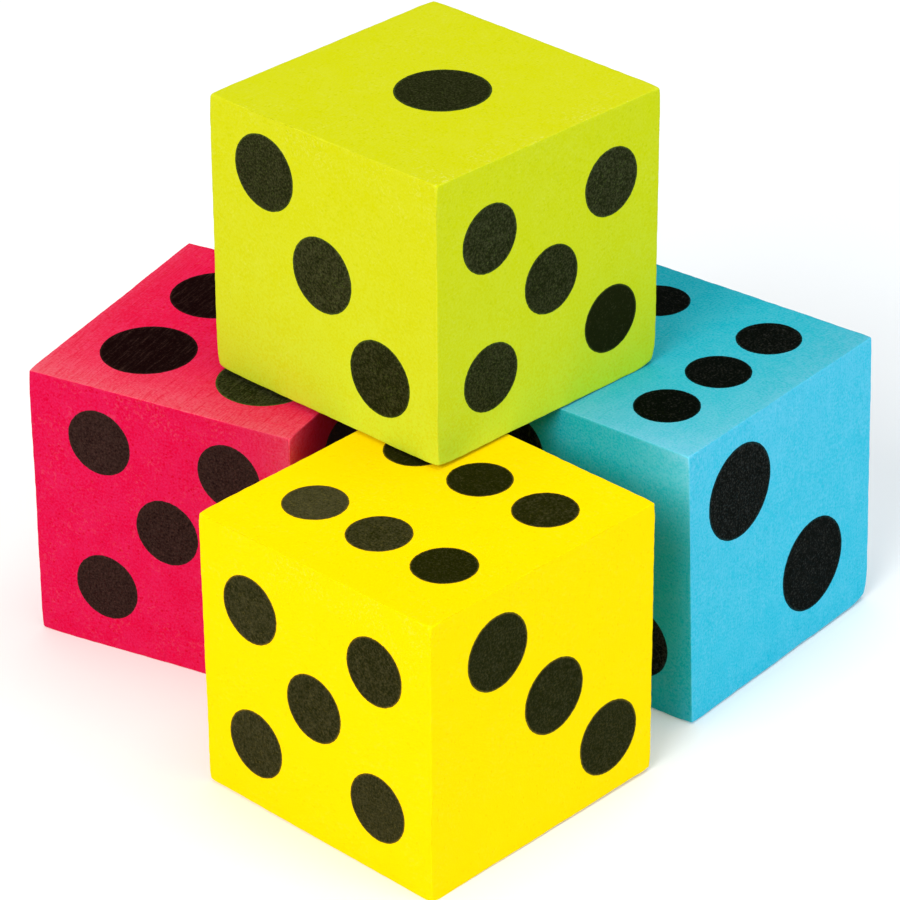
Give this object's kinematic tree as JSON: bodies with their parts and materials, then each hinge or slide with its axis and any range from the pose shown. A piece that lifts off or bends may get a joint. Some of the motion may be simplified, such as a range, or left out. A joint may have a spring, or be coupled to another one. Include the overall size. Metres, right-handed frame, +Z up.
{
  "type": "giant yard dice",
  "caption": "Set of large soft foam dice for lawn games, with printed round pips, stacked as a small pyramid.",
  "frame": {"origin": "on the ground at the middle of the set's bounding box", "axes": "+Z up; X and Y parallel to the sides of the yellow die, which is the front one, seen from +X and -Y"},
  "size_m": [0.2103, 0.2032, 0.1783],
  "materials": {
    "yellow_foam": "matte closed-cell foam",
    "red_foam": "matte closed-cell foam",
    "blue_foam": "matte closed-cell foam",
    "lime_foam": "matte closed-cell foam",
    "ink": "matte screen ink"
  },
  "bodies": {
    "yellow_die": {"yellow_foam_block": "yellow_foam", "yellow_print_one": "ink", "yellow_print_two": "ink", "yellow_print_three": "ink", "yellow_print_four": "ink", "yellow_print_five": "ink", "yellow_print_six": "ink"},
    "red_die": {"red_foam_block": "red_foam", "red_print_one": "ink", "red_print_two": "ink", "red_print_three": "ink", "red_print_four": "ink", "red_print_five": "ink", "red_print_six": "ink"},
    "blue_die": {"blue_foam_block": "blue_foam", "blue_print_one": "ink", "blue_print_two": "ink", "blue_print_three": "ink", "blue_print_four": "ink", "blue_print_five": "ink", "blue_print_six": "ink"},
    "lime_die": {"lime_foam_block": "lime_foam", "lime_print_one": "ink", "lime_print_two": "ink", "lime_print_three": "ink", "lime_print_four": "ink", "lime_print_five": "ink", "lime_print_six": "ink"}
  },
  "joints": [
    {"name": "lime_lift", "type": "slide", "parent": "yellow_die", "child": "lime_die", "axis": [0, 0, 1], "range_m": [0, 0.18]},
    {"name": "red_slide", "type": "slide", "parent": "yellow_die", "child": "red_die", "axis": [-0.965, -0.2622, 0], "range_m": [0, 0.18]},
    {"name": "blue_slide", "type": "slide", "parent": "yellow_die", "child": "blue_die", "axis": [-0.0941, 0.9956, 0], "range_m": [0, 0.18]}
  ]
}
